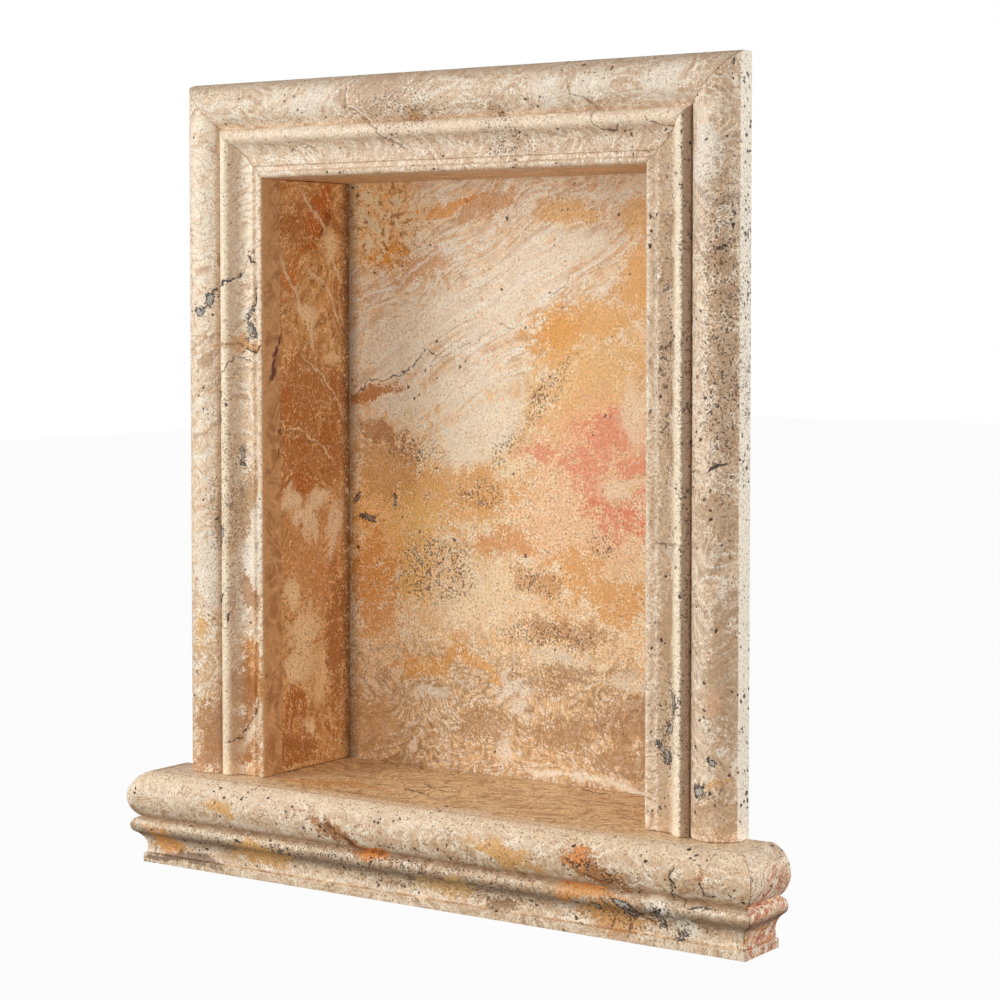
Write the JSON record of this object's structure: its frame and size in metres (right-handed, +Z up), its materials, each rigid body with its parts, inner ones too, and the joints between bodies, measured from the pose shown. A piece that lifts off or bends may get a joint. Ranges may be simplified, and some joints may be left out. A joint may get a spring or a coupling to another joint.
{
  "type": "recessed shower niche",
  "caption": "Recessed wall niche in travertine: moulded mitred frame, projecting moulded sill and a shallow slab-lined box open to the front.",
  "frame": {"origin": "middle of the top rail's flat back, on the wall face", "axes": "+X to the viewer's right along the wall, +Y into the wall, +Z up"},
  "size_m": [0.46, 0.134, 0.5033],
  "materials": {
    "frame_stone": "honed cream travertine with small open pits and brown wavy veins",
    "sill_stone": "honed cream travertine, darker and stained orange to grey along the lower mouldings",
    "return_stone": "honed travertine with pink, rust and cream streaks",
    "shelf_stone": "honed tan travertine with fine wavy veins and short cracks",
    "side_stone": "honed brown and rust travertine with pale veins",
    "head_stone": "honed tan travertine",
    "back_stone": "honed mixed travertine, gold, cream, salmon and grey-brown in cloudy bands"
  },
  "bodies": {
    "root": {"top_rail": "frame_stone", "left_jamb": "frame_stone", "right_jamb": "frame_stone", "sill_front": "sill_stone", "sill_return_left": "return_stone", "sill_return_right": "return_stone", "shelf": "shelf_stone", "side_left": "side_stone", "side_right": "side_stone", "head": "head_stone", "back_panel": "back_stone"}
  },
  "joints": []
}
